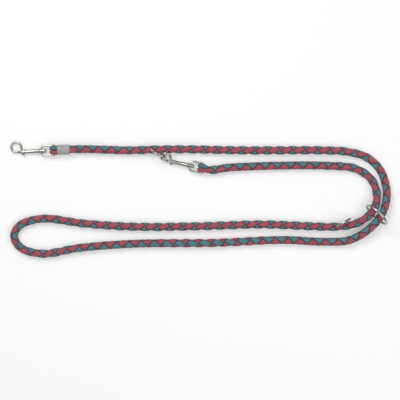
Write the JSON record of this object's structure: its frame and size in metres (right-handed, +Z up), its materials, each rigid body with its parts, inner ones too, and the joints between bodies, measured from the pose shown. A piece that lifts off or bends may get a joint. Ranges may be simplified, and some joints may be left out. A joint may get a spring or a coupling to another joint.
{
  "type": "adjustable double-ended braided lead",
  "caption": "Round braided lead with a swivel bolt snap at each end, two small rings set in the braid and a larger loose ring, lying folded.",
  "frame": {"origin": "on the surface the lead lies on, under the middle of its bounding box", "axes": "+X along the long runs, away from the free snap, +Y towards the side the two snaps are on, +Z up off the surface"},
  "size_m": [0.5324, 0.1631, 0.0395],
  "materials": {
    "red_cord": "soft matte braided cord",
    "teal_cord": "soft matte braided cord",
    "thread": "matte waxed thread",
    "label": "plain woven tape with a slight sheen",
    "nickel": "bright nickel plate",
    "steel": "drawn steel"
  },
  "bodies": {
    "lead": {"braided_rope": "red_cord", "end_whipping": "thread", "label_sleeve": "label", "red_bight_1": "red_cord", "teal_bight_1": "teal_cord", "red_bight_2": "red_cord", "teal_bight_2": "teal_cord"},
    "bail_1": {"bail_1": "nickel"},
    "snap_1": {"swivel_rivet_1": "nickel", "snap_body_1": "nickel", "bolt_spring_1": "steel"},
    "bolt_1": {"bolt_1": "steel", "thumb_stud_1": "nickel"},
    "bail_2": {"bail_2": "nickel"},
    "snap_2": {"swivel_rivet_2": "nickel", "snap_body_2": "nickel", "bolt_spring_2": "steel"},
    "bolt_2": {"bolt_2": "steel", "thumb_stud_2": "nickel"},
    "ring_1": {"ring_1": "nickel"},
    "ring_2": {"ring_2": "nickel"},
    "large_ring": {"large_ring": "nickel"}
  },
  "joints": [
    {"name": "bail_1_swing", "type": "hinge", "parent": "lead", "child": "bail_1", "pos_m": [-0.2043, 0.0695, 0.00731], "axis": [0.0558, -0.9984, 0], "range_deg": [-75, 0]},
    {"name": "snap_1_swivel", "type": "hinge", "parent": "bail_1", "child": "snap_1", "pos_m": [-0.2237, 0.06842, 0.00571], "axis": [-0.9951, -0.0556, -0.0819], "continuous": true},
    {"name": "bolt_1_draw", "type": "slide", "parent": "snap_1", "child": "bolt_1", "axis": [0.9951, 0.0556, 0.0819], "range_m": [0, 0.007], "stiffness_N_per_m": 300, "springref_m": -0.005, "deforming": ["bolt_spring_1"]},
    {"name": "bail_2_swing", "type": "hinge", "parent": "lead", "child": "bail_2", "pos_m": [0.0022, 0.0446, 0.006], "axis": [-0.2079, -0.9781, 0], "range_deg": [-1.5, 0]},
    {"name": "snap_2_swivel", "type": "hinge", "parent": "bail_2", "child": "snap_2", "pos_m": [-0.01687, 0.04865, 0.00573], "axis": [-0.9781, 0.2079, -0.014], "range_deg": [-4, 4]},
    {"name": "bolt_2_draw", "type": "slide", "parent": "snap_2", "child": "bolt_2", "axis": [0.9781, -0.2079, 0.014], "range_m": [0, 0.007], "stiffness_N_per_m": 300, "springref_m": -0.005, "deforming": ["bolt_spring_2"]},
    {"name": "ring_1_swing", "type": "hinge", "parent": "lead", "child": "ring_1", "pos_m": [-0.066, 0.0703, 0.0072], "axis": [0.5051, -0.1254, -0.8539], "range_deg": [-3, 3]},
    {"name": "ring_2_swing", "type": "hinge", "parent": "lead", "child": "ring_2", "pos_m": [0.1904, -0.0372, 0.0085], "axis": [0.3734, 0.1416, -0.9168], "range_deg": [-36, 2]},
    {"name": "large_ring_slide_along_legs", "type": "hinge", "parent": "lead", "child": "large_ring", "pos_m": [0.2, 0.005, 0], "axis": [0, 0, 1], "range_deg": [-5, 4]}
  ]
}
